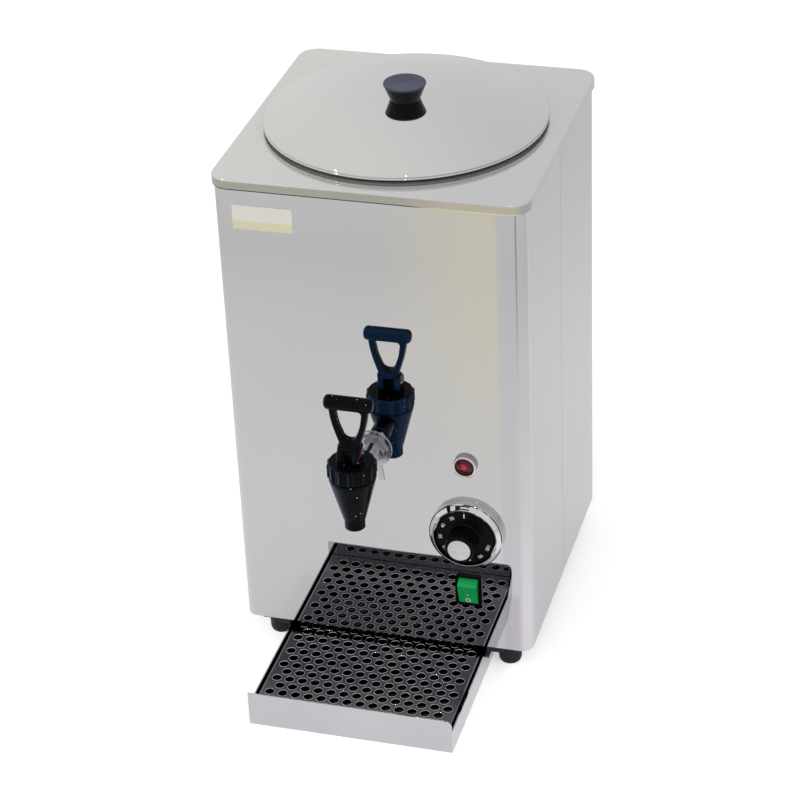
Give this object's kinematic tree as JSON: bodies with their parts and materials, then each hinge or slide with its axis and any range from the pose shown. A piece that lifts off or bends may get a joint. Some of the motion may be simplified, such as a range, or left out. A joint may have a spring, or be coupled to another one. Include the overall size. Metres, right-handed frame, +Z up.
{
  "type": "milk dispenser",
  "caption": "Upright polished steel milk dispenser with a lidded heated vessel, a lever tap, a dial, a rocker switch and a pull-out drip tray.",
  "frame": {"origin": "on the table, under the middle of the object's box", "axes": "+X to the right of someone facing the tap, +Y from the tap towards the back, +Z up"},
  "size_m": [0.266, 0.397, 0.4939],
  "materials": {
    "polished_steel": "mirror-polished stainless sheet",
    "satin_steel": "plain drawn stainless steel",
    "dark_steel": "dark slate stainless sheet",
    "chrome_parts": "bright chromed brass",
    "black_plastic": "glossy black moulded plastic",
    "dial_plastic": "black moulded plastic with white numbers",
    "silver_cap": "spun aluminium foil disc",
    "green_plastic": "translucent green plastic",
    "red_lens": "red translucent lens",
    "label": "cream film, without print",
    "black_rubber": "black rubber",
    "silicone": "translucent silicone",
    "wool": "mineral wool",
    "heater": "cast aluminium with an embedded element",
    "copper": "plain copper",
    "brass": "plain brass",
    "white_plastic": "off-white moulded plastic",
    "wire": "blue insulated wire"
  },
  "bodies": {
    "housing": {"casing_front": "polished_steel", "casing_rear": "polished_steel", "seam_strips": "satin_steel", "base_plate": "satin_steel", "top_plate": "polished_steel", "top_brackets": "satin_steel", "casing_screws": "chrome_parts", "blank_label": "label", "milk_vessel": "satin_steel", "rim_gasket": "black_rubber", "insulation_sleeve": "wool", "heater_plate": "heater", "heater_clamp": "satin_steel", "heater_nut": "chrome_parts", "thermal_cutout": "white_plastic", "tap_shank": "chrome_parts", "shank_gasket": "silicone", "shank_inner_nut": "chrome_parts", "panel_spacer": "silicone", "tab_washer": "chrome_parts", "panel_nut": "chrome_parts", "tap_jam_nut": "chrome_parts", "tap_body": "black_plastic", "tap_bonnet": "black_plastic", "tap_spring": "chrome_parts", "thermostat_body": "white_plastic", "thermostat_bulb": "copper", "bulb_clip": "satin_steel", "thermostat_bezel": "chrome_parts", "lamp_bezel": "chrome_parts", "lamp_lens": "red_lens", "lamp_body": "dial_plastic", "switch_frame": "dial_plastic", "switch_terminals": "brass", "terminal_block": "white_plastic", "terminal_screws": "brass", "cable_gland": "dial_plastic", "gland_locknut": "dial_plastic", "wiring": "wire", "tray_guide_left": "dark_steel", "tray_guide_right": "dark_steel", "foot_front_left": "black_rubber", "foot_front_right": "black_rubber", "foot_rear_left": "black_rubber", "foot_rear_right": "black_rubber", "foot_screws": "chrome_parts", "foot_nuts": "chrome_parts"},
    "lid_assembly": {"lid": "polished_steel", "lid_knob": "black_plastic", "lid_knob_screw": "chrome_parts"},
    "tap_valve": {"tap_stem": "satin_steel", "tap_seat_cup": "silicone"},
    "tap_lever": {"tap_handle": "black_plastic", "tap_handle_pin": "chrome_parts"},
    "dial": {"temperature_dial": "dial_plastic", "dial_cap": "silver_cap", "dial_spindle": "chrome_parts"},
    "rocker": {"switch_rocker": "green_plastic"},
    "tray": {"drip_tray": "polished_steel"},
    "grille": {"drip_grille": "dark_steel"}
  },
  "joints": [
    {"name": "lid_lift", "type": "slide", "parent": "housing", "child": "lid_assembly", "axis": [0, 0, 1], "range_m": [0, 0.15]},
    {"name": "valve_lift", "type": "slide", "parent": "housing", "child": "tap_valve", "axis": [0, 0, 1], "range_m": [0, 0.00344], "deforming": ["tap_spring"]},
    {"name": "handle_tilt", "type": "hinge", "parent": "tap_valve", "child": "tap_lever", "pos_m": [-0.0045, -0.139, 0.248], "axis": [1, 0, 0], "range_deg": [0, 35], "stiffness_Nm_per_rad": 0.4, "springref_deg": -28.65},
    {"name": "dial_turn", "type": "hinge", "parent": "housing", "child": "dial", "pos_m": [0.076, -0.0815, 0.1442], "axis": [0, 1, 0], "range_deg": [0, 270]},
    {"name": "rocker_tip", "type": "hinge", "parent": "housing", "child": "rocker", "pos_m": [0.076, -0.0795, 0.0848], "axis": [-1, 0, 0], "range_deg": [0, 30]},
    {"name": "tray_slide", "type": "slide", "parent": "housing", "child": "tray", "axis": [0, -1, 0], "range_m": [-0.1156, 0.105]},
    {"name": "grille_lift", "type": "slide", "parent": "tray", "child": "grille", "axis": [0, 0, 1], "range_m": [0, 0.006]}
  ],
  "couplings": [
    {"joint": "handle_tilt", "follows": "valve_lift", "rad_per_m": 177.5}
  ]
}
